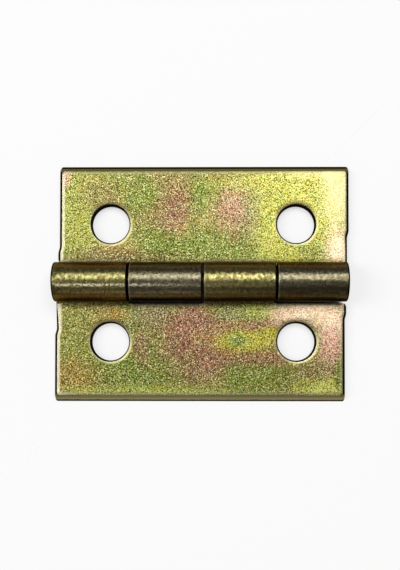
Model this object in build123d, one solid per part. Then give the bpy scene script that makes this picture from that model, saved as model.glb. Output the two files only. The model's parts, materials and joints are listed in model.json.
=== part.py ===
from build123d import *
import math
import os

# Small steel box hinge, opened out flat and lying on its back.
# Two leaves, pressed in the same tools and laid opposite ways round, interleave four rolled knuckles
# along a plain wire pin. X runs along the pin, the upper leaf reaches to +Y, the lower leaf to -Y.
# Z = 0 is the back that both leaves lie on, and the barrel stands up on the front.

# Driving dimensions, in millimetres.
SHEET = 1.2                # thickness of the steel sheet
LEAF_LENGTH = 37.95        # one leaf along the pin
LEAF_REACH = 15.5          # from the pin's centre line to a leaf's free edge
UPPER_CUT_OFF = 0.1        # how far past the pin's middle the upper leaf's middle was cut
LOWER_CUT_OFF = 0.45       # the same for the lower leaf; both lie towards their end knuckle
CORNER_RADIUS = 0.3        # free corners, seen from the front
NOTCH_CORNER_RADIUS = 0.5  # the free corner beside the other leaf's end knuckle
EDGE_ROLL = 0.3            # front edges, drawn down by the punch

PIN_DIAMETER = 2.6
PIN_RECESS = 0.2           # from the barrel's end to the pin's end
PIN_CHAMFER = 0.25
RUNNING_CLEARANCE = 0.05   # on the radius, between the pin and the knuckles that turn on it

UPPER_INNER_KNUCKLE = 9.27  # length of the upper leaf's knuckle beside the middle
LOWER_INNER_KNUCKLE = 9.12  # the same for the lower leaf
KNUCKLE_GAP = 0.28          # between neighbouring knuckles
UPPER_KNUCKLE_INSET = 0.53  # from the upper leaf's short edge to the end of its end knuckle
LOWER_KNUCKLE_INSET = 0.23  # the same for the lower leaf
KNUCKLE_CHAMFER = 0.15      # on a knuckle's outer rims
NOTCH_CLEARANCE = 0.12      # between a leaf's notched edge and the other leaf's knuckles
SEAM_GAP = 0.1              # between a curl's last corner and the face that it comes down to

HOLE_DIAMETER = 4.9
HOLE_SPACING = 24.3        # between the two holes of a leaf
HOLE_REACH = 7.7           # from the pin's centre line to the holes
HOLE_ROLL = 0.2            # rounding of a hole's front rim

# The notching tool cut the blank a little sideways, which left a step in both short edges.
CUT_STEP = 0.22            # the short edge at the end knuckle is cut back by this much near the barrel
CUT_STEP_REACH = 6.4       # from the pin's centre line to the middle of that step
FULL_STEP = 0.2            # the other short edge stands out by this much near the barrel
FULL_STEP_REACH = 4.4
STEP_RUN = 1.0             # length over which a step fades

# Worked out from the driving dimensions.
BARREL_RADIUS = PIN_DIAMETER / 2 + RUNNING_CLEARANCE + SHEET
AXIS_HEIGHT = BARREL_RADIUS
NOTCH_REACH = BARREL_RADIUS + NOTCH_CLEARANCE
# Knuckles are measured outwards from the pin's middle. An end knuckle starts past the other leaf's inner one.
INNER_FROM = KNUCKLE_GAP / 2
UPPER_INNER_TO = INNER_FROM + UPPER_INNER_KNUCKLE
LOWER_INNER_TO = INNER_FROM + LOWER_INNER_KNUCKLE
UPPER_END_TO = LEAF_LENGTH / 2 + UPPER_CUT_OFF - UPPER_KNUCKLE_INSET
LOWER_END_TO = LEAF_LENGTH / 2 + LOWER_CUT_OFF - LOWER_KNUCKLE_INSET
# A curl starts under the pin, goes round over the top and comes down beside its own leaf's front face.
SEAM_ANGLE = math.degrees(math.asin((AXIS_HEIGHT - SHEET - SEAM_GAP) / BARREL_RADIUS))
CURL_ARC = 270 + SEAM_ANGLE


def step_curve(start, end):
    """A smooth step in a short edge, leaving and arriving along the edge."""
    middle_y = (start[1] + end[1]) / 2
    return Bezier(start, (start[0], middle_y), (end[0], middle_y), end)


def flat_of_leaf(cut_off):
    """The flat of the upper leaf, with its notched edge, stepped short edges, screw holes and rolled rims."""
    notched_x = cut_off - LEAF_LENGTH / 2
    tongue_x = cut_off + LEAF_LENGTH / 2
    full_top = (notched_x, FULL_STEP_REACH + STEP_RUN / 2)
    full_bottom = (notched_x - FULL_STEP, FULL_STEP_REACH - STEP_RUN / 2)
    cut_top = (tongue_x, CUT_STEP_REACH + STEP_RUN / 2)
    cut_bottom = (tongue_x - CUT_STEP, CUT_STEP_REACH - STEP_RUN / 2)
    with BuildPart() as flat:
        with BuildSketch():
            with BuildLine():
                Line((notched_x, LEAF_REACH), full_top)
                step_curve(full_top, full_bottom)
                Line(full_bottom, (full_bottom[0], NOTCH_REACH))
                Line((full_bottom[0], NOTCH_REACH), (cut_bottom[0], NOTCH_REACH))
                Line((cut_bottom[0], NOTCH_REACH), cut_bottom)
                step_curve(cut_bottom, cut_top)
                Line(cut_top, (tongue_x, LEAF_REACH))
                Line((tongue_x, LEAF_REACH), (notched_x, LEAF_REACH))
            make_face()
            with Locations((-HOLE_SPACING / 2, HOLE_REACH), (HOLE_SPACING / 2, HOLE_REACH)):
                Circle(HOLE_DIAMETER / 2, mode=Mode.SUBTRACT)
        extrude(amount=SHEET)
        upright = flat.edges().filter_by(Axis.Z)
        fillet(upright.group_by(Axis.Y)[-1], CORNER_RADIUS)
        notch_corner = flat.edges().filter_by(Axis.Z).group_by(Axis.Y)[0].sort_by(Axis.X)[0]
        fillet(notch_corner, NOTCH_CORNER_RADIUS)
        front = flat.faces().filter_by(Axis.Z).sort_by(Axis.Z)[-1]
        fillet([edge for hole in front.inner_wires() for edge in hole.edges()], HOLE_ROLL)
        front = flat.faces().filter_by(Axis.Z).sort_by(Axis.Z)[-1]
        fillet(front.outer_wire().edges(), EDGE_ROLL)
    return flat.part


def knuckle(from_x, to_x, bore_radius):
    """A tongue of the sheet: its flat root, then the curl round the pin from underneath, over the top."""
    length = to_x - from_x
    middle_x = (from_x + to_x) / 2
    root_length = NOTCH_REACH + EDGE_ROLL
    with BuildPart() as tongue:
        with BuildSketch(Plane.XZ):
            with Locations((middle_x, AXIS_HEIGHT - (BARREL_RADIUS + bore_radius) / 2)):
                wall = Rectangle(length, BARREL_RADIUS - bore_radius)
            chamfer(wall.vertices().group_by(Axis.Z)[0], KNUCKLE_CHAMFER)
        revolve(axis=Axis((0, 0, AXIS_HEIGHT), (-1, 0, 0)), revolution_arc=CURL_ARC)
        with Locations((middle_x, root_length / 2, SHEET / 2)):
            Box(length, root_length, SHEET)
    return tongue.part


def leaf(cut_off, inner_to, neighbour_to, end_to, bore_radius):
    """The upper leaf, one sheet: its flat, the end knuckle at +X and the inner knuckle at -X."""
    end_knuckle = knuckle(neighbour_to + KNUCKLE_GAP, end_to, bore_radius)
    inner_knuckle = knuckle(-inner_to, -INNER_FROM, bore_radius)
    return flat_of_leaf(cut_off) + end_knuckle + inner_knuckle


def pin():
    """A length of plain wire with its cut ends broken, just short of the barrel's ends."""
    from_x = PIN_RECESS - LOWER_END_TO
    to_x = UPPER_END_TO - PIN_RECESS
    wire = Rot(0, 90, 0) * Cylinder(PIN_DIAMETER / 2, to_x - from_x)
    wire = chamfer(wire.edges().filter_by(GeomType.CIRCLE), PIN_CHAMFER)
    return Pos((from_x + to_x) / 2, 0, AXIS_HEIGHT) * wire


# The lower leaf's knuckles are closed down on the pin and hold it; the upper leaf's turn on it.
turning_bore = PIN_DIAMETER / 2 + RUNNING_CLEARANCE
holding_bore = PIN_DIAMETER / 2
upper_leaf = leaf(UPPER_CUT_OFF, UPPER_INNER_TO, LOWER_INNER_TO, UPPER_END_TO, turning_bore)
lower_leaf = Rot(0, 0, 180) * leaf(LOWER_CUT_OFF, LOWER_INNER_TO, UPPER_INNER_TO, LOWER_END_TO, holding_bore)

os.makedirs("parts", exist_ok=True)
export_step(upper_leaf, "parts/upper_leaf.step")
export_step(lower_leaf, "parts/lower_leaf.step")
export_step(pin(), "parts/hinge_pin.step")
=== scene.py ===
import json
import math

import bmesh
import bpy
from mathutils import Matrix, Vector


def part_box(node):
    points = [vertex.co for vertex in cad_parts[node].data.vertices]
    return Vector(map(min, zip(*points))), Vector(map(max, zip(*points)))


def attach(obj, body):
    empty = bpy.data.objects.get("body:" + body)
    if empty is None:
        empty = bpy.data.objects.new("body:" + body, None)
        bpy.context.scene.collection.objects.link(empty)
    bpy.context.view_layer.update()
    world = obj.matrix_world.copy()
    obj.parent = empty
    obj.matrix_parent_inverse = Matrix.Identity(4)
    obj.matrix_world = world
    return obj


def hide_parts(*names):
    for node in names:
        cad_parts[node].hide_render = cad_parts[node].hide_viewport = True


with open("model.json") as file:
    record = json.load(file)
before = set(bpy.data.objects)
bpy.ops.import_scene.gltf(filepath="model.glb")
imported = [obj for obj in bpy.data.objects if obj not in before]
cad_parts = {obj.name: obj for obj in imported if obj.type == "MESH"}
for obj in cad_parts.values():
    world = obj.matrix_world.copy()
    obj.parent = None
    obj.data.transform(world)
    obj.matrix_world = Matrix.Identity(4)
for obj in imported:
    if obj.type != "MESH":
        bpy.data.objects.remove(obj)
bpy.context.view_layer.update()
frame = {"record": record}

# The pin is a length of drawn steel wire with its cut ends broken.
# The lower leaf's knuckles are closed down on it, and the upper leaf's turn on it.
# Only its two ends and short glimpses between the knuckles can be seen.
mm = 0.001
pin_low, pin_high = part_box("hinge_pin")
pin_radius = (pin_high[2] - pin_low[2]) / 2
pin_height = (pin_high[2] + pin_low[2]) / 2
pin_length = pin_high[0] - pin_low[0]
pin_middle = (pin_low[0] + pin_high[0]) / 2
PIN_BREAK = 0.25 * mm
PIN_SIDES = 48
CORNER_ANGLE = 1.0  # in radians: an edge that turns more than this is a corner to be broken


def linear(red, green, blue):
    """A colour given as it looks on screen, 0 to 255, turned to the light values that shaders use."""
    def one(level):
        share = level / 255
        return share / 12.92 if share <= 0.04045 else ((share + 0.055) / 1.055) ** 2.4
    return (one(red), one(green), one(blue), 1)


class Value:
    """One number that varies over a surface. Arithmetic on it adds Math nodes."""

    def __init__(self, nodes, socket):
        self.nodes = nodes
        self.socket = socket

    def math(self, operation, *others):
        return self.nodes.node("ShaderNodeMath", {"operation": operation}, dict(enumerate((self, *others))))

    def __add__(self, other):
        return self.math("ADD", other)

    __radd__ = __add__

    def __sub__(self, other):
        return self.math("SUBTRACT", other)

    def __rsub__(self, other):
        return self.math("MULTIPLY", -1).math("ADD", other)

    def __mul__(self, other):
        return self.math("MULTIPLY", other)

    __rmul__ = __mul__

    def __abs__(self):
        return self.math("ABSOLUTE")

    def fade(self, start, end):
        """0 before start and 1 after end, smoothly in between; start may lie above end."""
        sockets = {"Value": self, "From Min": start, "From Max": end}
        return self.nodes.node("ShaderNodeMapRange", {"interpolation_type": "SMOOTHSTEP"}, sockets)


class Nodes:
    """A node tree that is built up one node at a time."""

    def __init__(self, tree):
        self.tree = tree

    def node(self, kind, settings, sockets, output=0):
        """Adds a node, its settings first, then its sockets by name or number, and gives one output."""
        made = self.tree.nodes.new(kind)
        for setting, choice in settings.items():
            setattr(made, setting, choice)
        for socket, term in sockets.items():
            if isinstance(term, Value):
                self.join(term, made.inputs[socket])
            else:
                made.inputs[socket].default_value = term
        return Value(self, made.outputs[output])

    def join(self, value, socket):
        self.tree.links.new(value.socket, socket)


class Finish(Nodes):
    """A surface finish built from shader nodes. Places are millimetres on the object itself."""

    def __init__(self, name):
        self.material = bpy.data.materials.new(name)
        self.material.use_nodes = True
        super().__init__(self.material.node_tree)
        self.shader = self.tree.nodes["Principled BSDF"]
        here = self.node("ShaderNodeTexCoord", {}, {}, "Object")
        self.place = self.node("ShaderNodeVectorMath", {"operation": "SCALE"}, {0: here, "Scale": 1 / mm})
        self.x, self.y, self.z = [
            self.node("ShaderNodeSeparateXYZ", {}, {0: self.place}, axis) for axis in "XYZ"]

    def vector(self, operation, *terms, output="Vector"):
        """One step of arithmetic on places."""
        return self.node("ShaderNodeVectorMath", {"operation": operation}, dict(enumerate(terms)), output)

    def stretched(self, x, y, z):
        """The place with each direction scaled, for a grain that runs one way."""
        return self.vector("MULTIPLY", self.place, (x, y, z))

    def distance(self, place, scale, shift):
        """How far from the origin a place lies once it has been scaled and then shifted."""
        return self.vector("LENGTH", self.vector("MULTIPLY_ADD", place, scale, shift), output="Value")

    def noise(self, scale, detail, rough, place=None):
        """Noise of the given number of patches a millimetre."""
        sockets = {"Vector": place or self.place, "Scale": scale, "Detail": detail, "Roughness": rough}
        return self.node("ShaderNodeTexNoise", {}, sockets, "Fac")

    def mix(self, share, first, second, blend="MIX"):
        """Two colours mixed by share."""
        settings = {"data_type": "RGBA", "blend_type": blend}
        return self.node("ShaderNodeMix", settings, {0: share, 6: first, 7: second}, 2)

    def finished(self, colour, roughness, height):
        """Joins up a metal surface. Its height, in millimetres, becomes a bump."""
        bump = self.node("ShaderNodeBump", {}, {"Height": height, "Distance": mm})
        self.shader.inputs["Metallic"].default_value = 1
        self.join(colour, self.shader.inputs["Base Color"])
        self.join(roughness, self.shader.inputs["Roughness"])
        self.join(bump, self.shader.inputs["Normal"])
        return self.material


def wire_finish():
    """Drawn wire: fine scratches along it, painted dark as shade inside the knuckles, grey at its cut ends."""
    finish = Finish("pin_wire")
    drawn = finish.noise(1.0, detail=3, rough=0.6, place=finish.stretched(0.3, 9, 9))
    # Painted shade: the wire goes dark away from its cut ends, where it lies inside the knuckles.
    shaded_in_knuckles = finish.mix(drawn.fade(0.35, 0.7), linear(24, 21, 14), linear(44, 40, 28))
    bare = finish.mix(drawn.fade(0.35, 0.7), linear(84, 78, 58), linear(120, 114, 90))
    end = pin_length / 2 / mm
    colour = finish.mix(abs(finish.x - pin_middle / mm).fade(end - 0.6, end - 0.2), shaded_in_knuckles, bare)
    return finish.finished(colour, 0.3 + 0.15 * drawn, 0.006 * drawn)


def piece(name, mesh, material, body, node):
    """Puts a finished mesh in the scene in place of a CAD node."""
    shape = bpy.data.meshes.new(name)
    mesh.to_mesh(shape)
    mesh.free()
    shape.materials.append(material)
    made = bpy.data.objects.new(name, shape)
    bpy.context.scene.collection.objects.link(made)
    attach(made, body)
    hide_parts(node)
    return made


pin = bmesh.new()
lying = Matrix.Translation((pin_middle, 0, pin_height)) @ Matrix.Rotation(math.radians(90), 4, "Y")
bmesh.ops.create_cone(
    pin, cap_ends=True, segments=PIN_SIDES, radius1=pin_radius, radius2=pin_radius, depth=pin_length,
    matrix=lying)
rims = [edge for edge in pin.edges if edge.calc_face_angle() > CORNER_ANGLE]
bmesh.ops.bevel(pin, geom=rims, offset=PIN_BREAK, segments=3, profile=0.5, affect="EDGES", material=-1)
for face in pin.faces:
    face.smooth = len(face.verts) < PIN_SIDES
piece("pin_wire", pin, wire_finish(), "lower_side", "hinge_pin")

# Each leaf is one blank of 1.2 mm sheet steel, punched with two plain holes, notched, and its two tongues
# rolled round the pin into knuckles. Both are pressed in the same tools and laid opposite ways round.
# They are zinc plated and dipped in a yellow chromate that dries in thin coloured films.
mounts = {mount["name"]: mount for mount in frame["record"]["mounts"]}
holes = mounts["upper_holes"]
sheet = holes["pos_m"][2]
hole_radius = holes["dims"]["hole_r_mm"] * mm
hole_x = holes["dims"]["spacing_x_mm"] / 2 * mm
hole_y = holes["pos_m"][1]
barrel_radius = pin_height

UPPER_INNER_KNUCKLE = 9.27 * mm
LOWER_INNER_KNUCKLE = 9.12 * mm
KNUCKLE_GAP = 0.28 * mm
KNUCKLE_BREAK = 0.14 * mm
PIN_RECESS = 0.2 * mm
NOTCH_CLEARANCE = 0.12 * mm
SEAM_GAP = 0.1 * mm
CURL_STEPS = 72
CORNER_RADIUS = 0.3 * mm
NOTCH_CORNER_RADIUS = 0.5 * mm
# The notching tool cut a little sideways. How far each short edge steps, and the step's middle from the pin.
CUT_STEP, CUT_STEP_REACH = 0.22 * mm, 6.4 * mm
FULL_STEP, FULL_STEP_REACH = 0.2 * mm, 4.4 * mm
STEP_RUN = 1.0 * mm
STEP_POINTS = 6
# How far in from the rim, in millimetres, the rows of a rolled edge lie, and those of a hole's rim.
ROLL_ROWS = [0, 0.03, 0.07, 0.12, 0.18, 0.25, 0.32, 0.4, 0.54, 0.7, 0.9]
HOLE_ROWS = [0.4, 0.3, 0.2, 0.15, 0.1, 0.06, 0.03, 0]
ROOT_FADE = 0.25 * mm
NOTCH_ROLL = 0.12  # how much of the usual roll the notched edge has
FREE_EDGE_LEAN = 0.45 * mm
HOLE_BREAK_OUT = 0.08 * mm
HOLE_BREAK_UP = 0.12 * mm
HOLE_SIDES = 72
# In metres: places closer than this lie on one line, and points closer than this are one point.
ON_LINE = 1e-6
ONE_POINT = 1e-7
SMOOTH_ANGLE = 0.6  # in radians: an edge that turns less than this is shaded smooth

roll_width = ROLL_ROWS[-1] * mm
notch_reach = barrel_radius + NOTCH_CLEARANCE
inner_from = KNUCKLE_GAP / 2
upper_inner_to = inner_from + UPPER_INNER_KNUCKLE
lower_inner_to = inner_from + LOWER_INNER_KNUCKLE
upper_end_to = pin_high[0] + PIN_RECESS
lower_end_to = PIN_RECESS - pin_low[0]
seam_angle = math.asin((barrel_radius - sheet - SEAM_GAP) / barrel_radius)
curl_arc = 1.5 * math.pi + seam_angle


def roll_depth(inward, shoulder, shoulder_width, lip, lip_width):
    """How far a rolled edge has dropped, in metres, at a distance in millimetres inward from its rim."""
    gentle = shoulder * max(1 - inward / shoulder_width, 0) ** 2
    steep = lip * max(1 - inward / lip_width, 0) ** 2.5
    return (gentle + steep) * mm


def edge_roll(inward):
    return roll_depth(inward, shoulder=0.19, shoulder_width=0.9, lip=0.33, lip_width=0.36)


def hole_roll(inward):
    return roll_depth(inward, shoulder=0.08, shoulder_width=0.4, lip=0.3, lip_width=0.24)


def stepped_edge(from_x, to_x, middle_y):
    """Points down a short edge where it steps sideways, from the free end towards the barrel."""
    points = []
    for number in range(STEP_POINTS + 1):
        share = number / STEP_POINTS
        eased = share * share * (3 - 2 * share)
        points.append((from_x + (to_x - from_x) * eased, middle_y + STEP_RUN * (0.5 - share)))
    return points


def near(value, target):
    return abs(value - target) < ON_LINE


def between(value, low, high):
    return low - ON_LINE < value < high + ON_LINE


def at_corner(co, corner):
    """Whether a point lies on the mitre that runs in from a corner of the blank."""
    across, along = abs(co.x - corner[0]), abs(co.y - corner[1])
    return near(across, along) and across < roll_width + ON_LINE


def round_corner(mesh, corner, radius):
    mitre = [edge for edge in mesh.edges if all(at_corner(vert.co, corner) for vert in edge.verts)]
    bmesh.ops.bevel(
        mesh, geom=mitre, offset=radius, offset_type="OFFSET", segments=5, profile=0.5, affect="EDGES",
        material=-1, clamp_overlap=False)


def flat_blank(notched_x, tongue_x, reach):
    """The flat with its rolled rims, still without holes."""
    mesh = bmesh.new()
    full_x, cut_x, free_y = notched_x - FULL_STEP, tongue_x - CUT_STEP, reach - FREE_EDGE_LEAN
    outline = [(notched_x, free_y)] + stepped_edge(notched_x, full_x, FULL_STEP_REACH)
    outline += [(full_x, notch_reach), (cut_x, notch_reach)]
    outline += stepped_edge(tongue_x, cut_x, CUT_STEP_REACH)[::-1] + [(tongue_x, free_y)]
    rim_height = sheet - edge_roll(0)
    blank = mesh.faces.new([mesh.verts.new((x, y, rim_height)) for x, y in outline])
    pushed = bmesh.ops.extrude_face_region(mesh, geom=[blank])["geom"]
    below = [part for part in pushed if isinstance(part, bmesh.types.BMVert)]
    bmesh.ops.translate(mesh, vec=(0, 0, -rim_height), verts=below)
    bmesh.ops.recalc_face_normals(mesh, faces=mesh.faces[:])
    front = max(mesh.faces, key=lambda face: face.calc_center_median().z)
    for outer, inner in zip(ROLL_ROWS, ROLL_ROWS[1:]):
        bmesh.ops.inset_individual(
            mesh, faces=[front], thickness=(inner - outer) * mm, depth=edge_roll(outer) - edge_roll(inner),
            use_even_offset=True)
    round_corner(mesh, (notched_x, free_y), CORNER_RADIUS)
    round_corner(mesh, (tongue_x, free_y), CORNER_RADIUS)
    round_corner(mesh, (full_x, notch_reach), NOTCH_CORNER_RADIUS)
    return mesh


def cut_across(mesh, x):
    parts = mesh.verts[:] + mesh.edges[:] + mesh.faces[:]
    bmesh.ops.bisect_plane(mesh, geom=parts, dist=ONE_POINT, plane_co=(x, 0, 0), plane_no=(1, 0, 0))


def hole_wall(mesh, middle_x):
    """The wall of a hole: rolled rim in front, a slight break-out at the back."""
    profile = [(inward * mm, sheet - hole_roll(inward)) for inward in HOLE_ROWS]
    profile += [(0, HOLE_BREAK_UP), (HOLE_BREAK_OUT, 0)]
    verts = [
        mesh.verts.new((middle_x + hole_radius + outward, hole_y, height)) for outward, height in profile]
    edges = [mesh.edges.new(pair) for pair in zip(verts, verts[1:])]
    bmesh.ops.spin(
        mesh, geom=verts + edges, cent=(middle_x, hole_y, 0), axis=(0, 0, 1), angle=2 * math.pi,
        steps=HOLE_SIDES, use_merge=True, use_duplicate=False)


def open_rims(mesh, height):
    return [
        edge for edge in mesh.edges
        if len(edge.link_faces) == 1 and all(near(vert.co.z, height) for vert in edge.verts)]


def punch_holes(mesh):
    """Takes the front and the back out, and fills them in again round the walls of the two holes."""
    flats = [
        face for face in mesh.faces
        if all(near(vert.co.z, sheet) for vert in face.verts) or all(near(vert.co.z, 0) for vert in face.verts)]
    bmesh.ops.delete(mesh, geom=flats, context="FACES")

    hole_wall(mesh, -hole_x)
    hole_wall(mesh, hole_x)
    bmesh.ops.triangle_fill(mesh, use_beauty=True, edges=open_rims(mesh, sheet), normal=(0, 0, 1))
    bmesh.ops.triangle_fill(mesh, use_beauty=True, edges=open_rims(mesh, 0), normal=(0, 0, -1))


def dress_edges(mesh, full_x, cut_x, reach, roots):
    """Rolls the notched edge less, the tongues' roots not at all, and leans the free edge out at the back."""
    leans_from = reach - FREE_EDGE_LEAN - CORNER_RADIUS * 1.01  # just before the free corners begin to round
    for vert in mesh.verts:
        into = vert.co.y - notch_reach
        if vert.co.z > ON_LINE and into < roll_width + ON_LINE:
            beside = max(min(vert.co.x - full_x, cut_x - vert.co.x), 0)
            side_drop, notch_drop = edge_roll(beside / mm), NOTCH_ROLL * edge_roll(into / mm)
            at_root = any(between(vert.co.x, from_x, to_x) for from_x, to_x in roots)
            drop = side_drop * min(into / roll_width, 1) if at_root else max(side_drop, notch_drop)
            vert.co.z = sheet - drop
        if near(vert.co.z, 0) and vert.co.y > leans_from:
            vert.co.y += FREE_EDGE_LEAN


def roll_tongue(mesh, from_x, to_x):
    """Draws a tongue out of the notched edge and rolls it round the pin, from underneath and over the top."""
    root = [
        face for face in mesh.faces
        if all(near(vert.co.y, notch_reach) and between(vert.co.x, from_x, to_x) for vert in face.verts)]
    pushed = bmesh.ops.extrude_face_region(mesh, geom=root)["geom"]
    tip = [part for part in pushed if isinstance(part, bmesh.types.BMVert)]
    bmesh.ops.delete(mesh, geom=root, context="FACES")
    bmesh.ops.translate(mesh, vec=(0, -notch_reach, 0), verts=tip)
    bmesh.ops.spin(
        mesh, geom=pushed, cent=(0, 0, pin_height), axis=(-1, 0, 0), angle=curl_arc, steps=CURL_STEPS,
        use_duplicate=False)


def leaf_mesh(notched_x, tongue_x, reach, roots):
    """A whole leaf, as the upper one lies: flat towards +Y, end knuckle at +X."""
    mesh = flat_blank(notched_x, tongue_x, reach)
    full_x, cut_x = notched_x - FULL_STEP, tongue_x - CUT_STEP
    cut_across(mesh, cut_x - roll_width)
    for from_x, to_x in roots:
        for x in (from_x - ROOT_FADE, from_x, to_x, to_x + ROOT_FADE):
            if x < cut_x:
                cut_across(mesh, x)
    punch_holes(mesh)
    dress_edges(mesh, full_x, cut_x, reach, roots)
    for from_x, to_x in roots:
        roll_tongue(mesh, from_x, to_x)
    return mesh


def break_knuckles(mesh):
    """Breaks the outer rims of the knuckles and the last corners of the curls."""
    def on_barrel(co):
        return near(math.hypot(co.y, co.z - pin_height), barrel_radius)

    rims = [
        edge for edge in mesh.edges
        if all(on_barrel(vert.co) for vert in edge.verts)
        and len(edge.link_faces) == 2 and edge.calc_face_angle() > CORNER_ANGLE]
    bmesh.ops.bevel(
        mesh, geom=rims, offset=KNUCKLE_BREAK, offset_type="OFFSET", segments=3, profile=0.5, affect="EDGES",
        material=-1, clamp_overlap=True)


def smooth_but_sharp_corners(mesh):
    for face in mesh.faces:
        face.smooth = True
    for edge in mesh.edges:
        edge.smooth = len(edge.link_faces) == 2 and edge.calc_face_angle() < SMOOTH_ANGLE


def leaf(name, node, body, turned, material):
    """One finished leaf in place of its CAD node. The lower leaf is turned half round."""
    low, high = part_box(node)
    tongue_x = -low[0] if turned else high[0]
    notched_x = (-high[0] if turned else low[0]) + FULL_STEP
    reach = -low[1] if turned else high[1]
    inner_to, neighbour_to = (lower_inner_to, upper_inner_to) if turned else (upper_inner_to, lower_inner_to)
    end_to = lower_end_to if turned else upper_end_to
    roots = [(-inner_to, -inner_from), (neighbour_to + KNUCKLE_GAP, end_to)]
    mesh = leaf_mesh(notched_x, tongue_x, reach, roots)
    break_knuckles(mesh)
    bmesh.ops.remove_doubles(mesh, verts=mesh.verts[:], dist=ONE_POINT)
    if turned:
        half_round = Matrix.Rotation(math.pi, 3, "Z")
        bmesh.ops.rotate(mesh, cent=(0, 0, 0), matrix=half_round, verts=mesh.verts[:])
    bmesh.ops.recalc_face_normals(mesh, faces=mesh.faces[:])
    smooth_but_sharp_corners(mesh)
    made = piece(name, mesh, material, body, node)
    weights = made.modifiers.new("even_shading", "WEIGHTED_NORMAL")
    weights.keep_sharp = True


FILM = {
    "lime": linear(156, 166, 76),
    "green": linear(104, 124, 44),
    "grey": linear(134, 134, 100),
    "umber": linear(128, 112, 72),
    "brown": linear(92, 78, 50),
    "amber": linear(150, 126, 60),
    "rose": linear(140, 92, 84),
    "pink": linear(206, 162, 150),
    "peach": linear(240, 214, 190),
    "gold": linear(164, 162, 48),
    "lemon": linear(186, 190, 88),
    "cream": linear(198, 193, 139),
}
# The pale films fill the grain: how pale each one counts, and how much of the grain the palest hides.
PALENESS = {"cream": 1.0, "peach": 0.5}
PALE_FILL = 0.6
# How far, in half widths, a stain's rim wanders with the noise.
STAIN_WANDER = 1.5
# Each stain: its middle and its half widths on the leaf in millimetres, its colour, how strong it is and how
# softly it ends.
UPPER_STAINS = [
    (-16.2, 9.6, 4.0, 8.0, "lime", 0.85, 0.6), (-13.6, 11.6, 2.8, 1.9, "umber", 0.7, 0.7),
    (-18.1, 14.0, 0.7, 1.5, "pink", 0.8, 0.5), (-8.0, 11.2, 2.4, 3.2, "green", 0.85, 0.7),
    (-6.4, 8.4, 2.4, 1.9, "umber", 0.7, 0.7), (-6.0, 5.0, 3.2, 2.0, "green", 0.9, 0.6),
    (-0.6, 12.6, 1.6, 3.0, "green", 0.9, 0.6), (-3.7, 9.6, 1.9, 3.9, "rose", 0.8, 0.8),
    (-4.0, 13.6, 2.6, 1.2, "umber", 0.7, 0.6), (-11.2, 4.2, 2.6, 1.1, "amber", 0.85, 0.6),
    (1.6, 4.8, 9.5, 2.1, "green", 0.85, 0.6), (4.0, 9.6, 1.9, 3.2, "rose", 0.75, 0.8),
    (4.1, 10.2, 2.0, 2.4, "pink", 0.4, 0.9), (1.4, 14.2, 2.4, 0.9, "umber", 0.7, 0.6),
    (6.7, 9.6, 1.2, 3.6, "grey", 0.8, 0.7), (8.6, 7.6, 1.2, 3.4, "lime", 0.8, 0.6),
    (12.4, 12.2, 4.8, 3.6, "lemon", 0.95, 0.9), (15.6, 8.2, 2.0, 4.0, "lemon", 0.9, 0.6),
    (17.6, 11.8, 1.9, 4.6, "cream", 0.95, 0.9), (13.6, 14.6, 3.4, 0.8, "cream", 0.7, 0.6),
    (8.8, 6.2, 1.8, 2.8, "lemon", 0.7, 0.9), (10.4, 3.9, 2.0, 1.2, "lemon", 0.6, 0.8),
    # The umber stain at (-12.0, 3.4) and the brown one at (-10.0, 3.0) are painted shade above the barrel.
    (-12.0, 3.4, 5.2, 1.3, "umber", 0.7, 0.8), (17.6, 4.6, 1.5, 2.2, "peach", 0.9, 0.9),
    (6.6, 13.4, 5.6, 1.5, "lemon", 0.5, 0.9), (-10.0, 3.0, 9.5, 1.0, "brown", 0.6, 0.8),
]
LOWER_STAINS = [
    (-16.8, -6.9, 2.4, 4.6, "lime", 0.3, 0.7), (-11.2, -4.1, 2.0, 0.9, "amber", 0.9, 0.6),
    (-17.0, -12.4, 2.6, 2.1, "amber", 0.95, 0.7), (-6.7, -4.4, 2.4, 1.4, "grey", 0.8, 0.7),
    (-8.4, -10.4, 5.4, 4.2, "green", 0.9, 0.6), (-8.0, -8.6, 0.9, 2.0, "rose", 0.6, 0.7),
    (-6.0, -14.3, 12.5, 0.9, "lime", 0.85, 0.6), (0.8, -7.4, 6.4, 3.9, "rose", 0.95, 0.7),
    (-1.6, -5.2, 2.4, 1.8, "rose", 0.9, 0.6), (-1.2, -11.2, 2.2, 1.8, "umber", 0.8, 0.7),
    (0.8, -11.0, 2.6, 1.6, "rose", 0.7, 0.7), (4.9, -3.6, 3.8, 1.4, "green", 0.8, 0.6),
    (3.6, -3.9, 1.6, 1.0, "grey", 0.7, 0.7), (7.8, -5.9, 3.0, 0.9, "rose", 0.95, 0.5),
    (7.4, -10.0, 3.4, 0.9, "rose", 0.9, 0.5), (4.2, -7.5, 4.8, 1.8, "amber", 0.9, 0.5),
    (5.4, -7.5, 4.0, 1.3, "gold", 0.95, 0.4), (9.0, -6.6, 1.8, 0.9, "gold", 0.9, 0.5),
    (4.7, -7.5, 1.7, 1.0, "lime", 0.95, 0.4), (4.5, -7.5, 0.9, 0.7, "green", 0.95, 0.4),
    (6.0, -12.6, 4.2, 2.2, "green", 0.8, 0.6), (9.8, -4.8, 1.8, 0.9, "rose", 0.5, 0.8),
    (7.2, -3.5, 2.0, 1.1, "lime", 0.8, 0.7), (12.8, -3.9, 3.2, 1.4, "peach", 0.9, 0.9),
    (17.0, -5.0, 1.9, 2.4, "peach", 0.95, 0.9), (16.8, -8.4, 1.6, 2.6, "pink", 0.95, 0.9),
    (15.0, -11.4, 2.6, 0.9, "umber", 0.8, 0.6), (16.0, -14.0, 3.4, 1.3, "lemon", 0.9, 0.6),
    (18.0, -11.8, 0.8, 2.6, "green", 0.8, 0.6),
]
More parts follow.
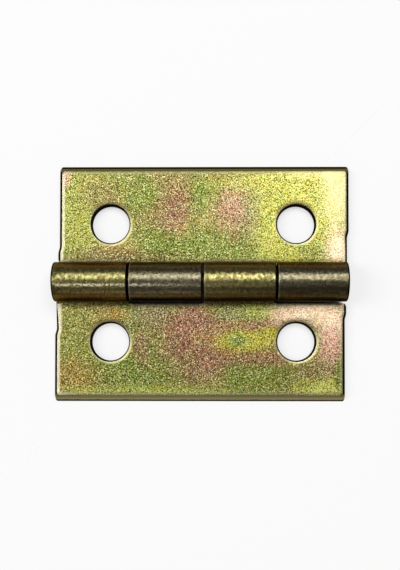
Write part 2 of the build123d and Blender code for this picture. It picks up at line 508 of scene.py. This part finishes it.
# Bands on a leaf in millimetres, each given by where it begins and where it is full.
# Heights are from the back, and the others lie along or across the leaf.
FRONT_HALF = (0.5, 0.7)
FRONT_FACE, BACK_FACE = (1.06, 1.17), (0.05, 0.02)
SHOULDER_TOP, SHOULDER_FOOT = (1.198, 1.185), (1.12, 1.136)
WALL_TOP, WALL_FOOT = (1.14, 1.12), (0.03, 0.01)
STEEP_END, TORN_PART = (0.58, 0.66), (0.36, 0.28)
UPPER_FREE_EDGE, FREE_EDGE_WALL = (13.9, 14.7), (14.5, 14.6)
LEFT_END = (-17, -18)
# The same from the pin's centre line, and from a hole's middle.
BESIDE_BARREL, ON_BARREL = (3.4, 2.6), (2.62, 2.58)
HOLE_SHADE, HOLE_RING, HOLE_WALL = (3.35, 2.75), (3.05, 2.8), (2.67, 2.58)
# Across the barrel: its crown by height, painted lighter as a highlight, the line where that highlight falls,
# the second line beside it painted as highlight, the front painted darker as shade, and the foot.
CROWN, SECOND_LINE_CROWN = (4.3, 4.9), (4.5, 4.7)
HIGHLIGHT_LINE_FRONT, HIGHLIGHT_LINE_BACK = (-0.25, 0.1), (1.15, 0.8)
SECOND_LINE_Y, SECOND_LINE_WIDTH = -0.64, (0.26, 0.08)
SHADED_FRONT, FOOT = (-0.5, -1.1), (-2.0, -2.45)
# How deep the painted shade on a knuckle's cut end reaches: at the barrel's own end, and at the gaps.
OUTER_END_DEPTH, GAP_END_DEPTH = 0.2, 0.04


def filmed(finish, on_front, ground, stains):
    """The ground with every stain over it, and how pale the films are at each place."""
    colour = finish.mix(finish.noise(0.16, detail=3, rough=0.5).fade(0.4, 0.6), *ground)
    drift = finish.noise(0.4, detail=3, rough=0.6)
    pale = 0
    for x, y, half_x, half_y, film, strength, softness in stains:
        outward = finish.distance(finish.place, (1 / half_x, 1 / half_y, 0), (-x / half_x, -y / half_y, 0))
        wandering = outward + STAIN_WANDER * (drift - 0.5)
        share = wandering.fade(1 + softness, 1 - softness) * on_front * strength
        colour = finish.mix(share, colour, FILM[film])
        if film in PALENESS:
            pale = share * PALENESS[film] + pale
    return colour, pale


def grained(finish, colour, flat, filled, grain):
    """Pits between the zinc's grains look darker and greener, the grains' tops paler."""
    rosier = finish.mix(1.0, colour, (1.1, 0.94, 0.88, 1), "MULTIPLY")
    colour = finish.mix(finish.noise(1.3, detail=2, rough=0.6).fade(0.4, 0.6), colour, rosier)
    pitted = finish.mix(1.0, colour, linear(98, 102, 64), "MULTIPLY")
    colour = finish.mix(grain.fade(0.56, 0.4) * filled * 0.95, colour, pitted)
    fleck = finish.noise(6.4, detail=2, rough=0.6).fade(0.54, 0.66) * flat
    return finish.mix(fleck * 0.62, colour, linear(248, 244, 178))


def rim_wear_and_painted_light(finish, colour, on_front):
    """Burnished shoulders, painted highlight at the left, painted shade at the top edge and by the barrel."""
    # The shoulders are burnished paler all round; at the left they are painted whiter and stronger as a
    # highlight.
    left_highlight = finish.x.fade(*LEFT_END)
    shoulder = finish.z.fade(*SHOULDER_TOP) * finish.z.fade(*SHOULDER_FOOT)
    burnished = finish.mix(left_highlight, linear(206, 200, 166), linear(226, 218, 192))
    colour = finish.mix(shoulder * (0.25 + 0.3 * left_highlight), colour, burnished)
    # Painted shade: the front goes darker along the upper leaf's free edge.
    colour = finish.mix(finish.y.fade(*UPPER_FREE_EDGE) * on_front * 0.5, colour, linear(84, 82, 48))
    # Painted shade beside the barrel, left out at the lower leaf's corner by the end knuckle.
    unshaded_corner = finish.y.fade(-1, -2) * finish.x.fade(9, 11)
    shade_beside_barrel = abs(finish.y).fade(*BESIDE_BARREL) * (1 - unshaded_corner)
    return finish.mix(shade_beside_barrel * on_front * 0.55, colour, linear(44, 40, 22))


def rolled(finish, tone, speck, scratch, end_planes):
    """Knuckles: streaked dark sides, painted highlights along the crown, painted shade in front and in gaps."""
    streak = finish.noise(1.0, detail=3, rough=0.6, place=finish.stretched(0.12, 1.6, 1.6))
    colour = finish.mix(streak.fade(0.38, 0.62), *tone["sides"])

    # Painted highlight: the crown is lighter than the sides, and fully beaded only along the line of light.
    bead = finish.noise(1.0, detail=2, rough=0.6, place=finish.stretched(2.6, 1.8, 1.8)).fade(0.38, 0.62)
    highlight_line = finish.y.fade(*HIGHLIGHT_LINE_FRONT) * finish.y.fade(*HIGHLIGHT_LINE_BACK)
    beaded_highlight = highlight_line * bead + (1 - highlight_line) * (0.1 + 0.3 * bead)
    colour = finish.mix(finish.z.fade(*CROWN), colour, finish.mix(beaded_highlight, *tone["crown"]))

    # Painted highlight: a second, beaded line of light below the first, fading out towards the right.
    second_highlight_line = abs(finish.y - SECOND_LINE_Y).fade(*SECOND_LINE_WIDTH)
    second_highlight = second_highlight_line * finish.z.fade(*SECOND_LINE_CROWN) * finish.x.fade(1, -12)
    colour = finish.mix(second_highlight * speck.fade(0.42, 0.58) * 0.7, colour, linear(206, 200, 178))
    colour = finish.mix(scratch.fade(0.45, 0.75) * 0.5, colour, linear(120, 106, 66))
    colour = finish.mix(speck.fade(0.5, 0.75) * 0.35, colour, linear(150, 142, 104))
    # The foot is darker; on the upper leaf's knuckles it is near black, painted shade over the slot.
    colour = finish.mix(finish.y.fade(*FOOT), colour, tone["foot"])
    # Painted shade: the front of the barrel darker towards the right.
    shaded_front = finish.y.fade(*SHADED_FRONT) * finish.x.fade(-4, 8)
    colour = finish.mix(shaded_front * 0.4, colour, linear(44, 32, 14))

    # Painted glints on the rims beside the gaps; painted shade, near black, on the cut ends in the gaps and the
    # outer rim.
    outermost = max(end_planes, key=abs)
    ends, rim_glint = 0, 0
    for plane in end_planes:
        along = finish.x - plane / mm
        depth = OUTER_END_DEPTH if plane == outermost else GAP_END_DEPTH
        ends = abs(along).fade(depth + 0.02, depth - 0.02) + ends
        rim_glint = along.fade(0.05, 0.09) * along.fade(0.22, 0.16) + rim_glint
    colour = finish.mix(rim_glint * 0.2, colour, linear(206, 202, 176))
    colour = finish.mix(ends, colour, linear(10, 8, 5))
    return finish.mix(abs(finish.x - outermost / mm).fade(0.02, 0.01), colour, linear(96, 86, 56))


def painted_light_at_holes(finish, colour, on_front, from_hole):
    """A painted highlight ring round each hole, brightest at lower right, and painted brown shade above."""
    rightward = (abs(finish.x) - hole_x / mm) * finish.x.math("SIGN")
    upward = (abs(finish.y) - hole_y / mm) * finish.y.math("SIGN")
    # Painted highlight: the ring is pale, brightest towards the lower right, where the light falls.
    ring_highlight = from_hole.fade(*HOLE_RING) * (0.1 + 0.5 * rightward.fade(-2.2, 2.6) * upward.fade(2.6, -2.2))
    colour = finish.mix(ring_highlight * on_front, colour, linear(236, 228, 170))
    # Painted shade above each hole.
    shade = from_hole.fade(*HOLE_SHADE) * upward.fade(0.4, 2.4) * on_front
    return finish.mix(shade * 0.7, colour, linear(84, 68, 50))


def sheared(finish, colour, tone, from_hole):
    """Walls from front to back: the roll's steep end painted black as shade, a burnished band, the torn rest.
    """
    # Painted shade: the steep end of the roll and the walls of the holes are near black.
    steep = linear(26, 24, 14)
    torn = (finish.z + 0.2 * (finish.noise(1.5, detail=2, rough=0.5) - 0.5)).fade(*TORN_PART)
    edge = finish.mix(torn, tone["burnished"], tone["torn"])
    roll_end = finish.mix(abs(finish.y).fade(*FREE_EDGE_WALL), steep, tone["lip"])
    edge = finish.mix(finish.z.fade(*STEEP_END), edge, roll_end)
    in_hole = from_hole.fade(*HOLE_WALL)
    edge = finish.mix(in_hole, edge, steep)
    wall = finish.z.fade(*WALL_TOP) * (1 - finish.z.fade(*WALL_FOOT))
    return finish.mix(wall.math("MAXIMUM", in_hole), colour, edge)


def plating(name, tone, stains, end_planes):
    """Yellow passivated zinc: stained, grained films, dark knuckles, rims and sheared walls, painted light and
    shade.
    """
    finish = Finish(name)
    on_front = finish.z.fade(*FRONT_HALF)
    colour, pale = filmed(finish, on_front, tone["ground"], stains)
    flat = finish.z.fade(*FRONT_FACE).math("MAXIMUM", finish.z.fade(*BACK_FACE))
    filled = flat * (1 - PALE_FILL * pale)
    grain = finish.noise(5.2, detail=3, rough=0.65)
    colour = grained(finish, colour, flat, filled, grain)
    colour = rim_wear_and_painted_light(finish, colour, on_front)

    outward = finish.vector("ABSOLUTE", finish.place)
    from_hole = finish.distance(outward, (1, 1, 0), (-hole_x / mm, -hole_y / mm, 0))
    colour = painted_light_at_holes(finish, colour, on_front, from_hole)
    colour = sheared(finish, colour, tone, from_hole)

    barrel = finish.distance(finish.place, (0, 1, 1), (0, 0, -pin_height / mm)).fade(*ON_BARREL)
    speck = finish.noise(3.2, detail=2, rough=0.6)
    scratch = finish.noise(1.0, detail=3, rough=0.6, place=finish.stretched(0.3, 5, 5))
    colour = finish.mix(barrel, colour, rolled(finish, tone, speck, scratch, end_planes))
    roughness = 0.42 - 0.12 * barrel + (0.1 + 0.15 * barrel) * (speck - 0.5)
    height = (1 - barrel) * filled * 0.045 * grain + barrel * (0.03 * speck + 0.006 * scratch)
    # Seen at a slant, the films stay dark instead of mirroring the room.
    finish.shader.inputs["Specular Tint"].default_value = (0.5, 0.47, 0.36, 1)
    return finish.finished(colour, roughness, height)


lower_tone = {
    "ground": (linear(110, 112, 50), linear(134, 126, 68)),
    "sides": (linear(92, 60, 26), linear(92, 80, 38)),
    "crown": (linear(88, 77, 46), linear(148, 146, 92)),
    "foot": linear(80, 54, 24),
    "torn": linear(64, 56, 42),
    "burnished": linear(150, 142, 116),
    "lip": linear(136, 126, 84),
}
upper_tone = {
    "ground": (linear(126, 134, 60), linear(150, 144, 84)),
    "sides": (linear(86, 58, 28), linear(82, 70, 42)),
    "crown": (linear(76, 71, 54), linear(114, 110, 92)),
    # On the upper leaf the burnished and torn bands and the knuckles' foot are painted near black as shade.
    "foot": linear(30, 25, 15),
    "torn": linear(22, 20, 14),
    "burnished": linear(28, 26, 18),
    "lip": linear(118, 112, 72),
}
lower_ends = [lower_inner_to, inner_from, -upper_inner_to - KNUCKLE_GAP, -lower_end_to]
upper_ends = [-upper_inner_to, -inner_from, lower_inner_to + KNUCKLE_GAP, upper_end_to]
lower_plating = plating("lower_plating", lower_tone, LOWER_STAINS, lower_ends)
upper_plating = plating("upper_plating", upper_tone, UPPER_STAINS, upper_ends)
leaf("lower_leaf_plated", "lower_leaf", "lower_side", True, lower_plating)
leaf("upper_leaf_plated", "upper_leaf", "upper_side", False, upper_plating)

# The table under the hinge is a plain sheet of white paper, wide enough to fill every view.
# Lit from above it is nearly as bright as paper can be, to the eye and in the metal's reflections.
# Where the ambient occlusion is low it is painted dark as shade: in the narrow crack under the hinge,
# and in the metal's reflections close to the hinge.
TABLE_HALF = 6.0
TABLE_DROP = 0.01 * mm
CRACK_WIDTH = 3 * mm
PAPER_GLOW = 0.6
table_mesh = bmesh.new()
bmesh.ops.create_grid(
    table_mesh, x_segments=1, y_segments=1, size=TABLE_HALF, matrix=Matrix.Translation((0, 0, -TABLE_DROP)))
table_shape = bpy.data.meshes.new("table")
table_mesh.to_mesh(table_shape)
table_mesh.free()
table = bpy.data.objects.new("table", table_shape)
bpy.context.scene.collection.objects.link(table)
paper = Finish("white_paper")
openness = paper.node("ShaderNodeAmbientOcclusion", {"samples": 16}, {"Distance": CRACK_WIDTH}, "AO")
seen = paper.node("ShaderNodeLightPath", {}, {}, "Is Camera Ray")
mirrored = paper.node("ShaderNodeLightPath", {}, {}, "Is Glossy Ray")
# Painted shade: the paper's colour and glow go dark where the occlusion is low.
in_the_open = openness.fade(0.2, 0.42) * (1 - mirrored * (1 - openness.fade(0.5, 0.9)))
shade = paper.mix(in_the_open, (0.02, 0.02, 0.02, 1), (0.88, 0.88, 0.88, 1))
paper.join(shade, paper.shader.inputs["Base Color"])
paper.shader.inputs["Roughness"].default_value = 0.9
glow = paper.node("ShaderNodeEmission", {}, {"Strength": 1.0})
lit = Value(paper, paper.shader.outputs["BSDF"])
glowing = PAPER_GLOW * in_the_open * (seen + mirrored)
both = paper.node("ShaderNodeMixShader", {}, {0: glowing, 1: lit, 2: glow})
paper.join(both, paper.tree.nodes["Material Output"].inputs["Surface"])
table_shape.materials.append(paper.material)

# The light comes from a plain grey room, a broad soft lamp nearly overhead and a window on the left.
# Two thin strips opposite the lamp draw lines of light along the rounded steel.
# The room looks brighter to the camera than it lights the hinge.
ROOM_LIGHT, ROOM_SEEN = 0.2, 0.67
LAMP_DISTANCE = 1.0
room = bpy.data.worlds.new("room")
room.use_nodes = True
background = room.node_tree.nodes["Background"]
background.inputs["Color"].default_value = (1, 1, 1, 1)
room_nodes = Nodes(room.node_tree)
room_seen = room_nodes.node("ShaderNodeLightPath", {}, {}, "Is Camera Ray")
room_nodes.join(ROOM_LIGHT + (ROOM_SEEN - ROOM_LIGHT) * room_seen, background.inputs["Strength"])
bpy.context.scene.world = room


def lamp(name, along_x, along_y, width, depth, watts):
    """A soft lamp aimed at the hinge from the given angles away from straight above."""
    towards = Vector((math.tan(math.radians(along_x)), math.tan(math.radians(along_y)), 1))
    place = towards.normalized() * LAMP_DISTANCE
    light = bpy.data.lights.new(name, "AREA")
    light.shape = "RECTANGLE"
    light.size = width
    light.size_y = depth
    light.energy = watts
    made = bpy.data.objects.new(name, light)
    made.location = place
    made.rotation_mode = "QUATERNION"
    made.rotation_quaternion = (-place).to_track_quat("-Z", "Y")
    bpy.context.scene.collection.objects.link(made)


lamp("ceiling", 8, 24, width=0.8, depth=0.42, watts=6.4)
lamp("thin_strip", -11, -23, width=0.2, depth=0.012, watts=0.6)
lamp("low_strip", -15, -69, width=0.2, depth=0.06, watts=0.25)
lamp("window", -42, 5, width=0.4, depth=0.6, watts=3.8)

# The camera stands a hand's breadth above the hinge, a little towards the lower leaf.
# Its place, turn and lens were fitted to the holes, corners and knuckle ends in the photo.
CAMERA_PLACE = (2.17 * mm, -10.09 * mm, 103.79 * mm)
CAMERA_TURN = (math.radians(1.316), math.radians(0.604), math.radians(0.056))
lens = bpy.data.cameras.new("camera")
lens.lens = 49.72
lens.sensor_width = 36
lens.clip_start = 1 * mm
lens.shift_x = -0.02
lens.shift_y = 0.1
camera = bpy.data.objects.new("camera", lens)
camera.location = CAMERA_PLACE
camera.rotation_euler = CAMERA_TURN
bpy.context.scene.collection.objects.link(camera)
bpy.context.scene.camera = camera

bpy.context.scene.view_settings.view_transform = "Standard"
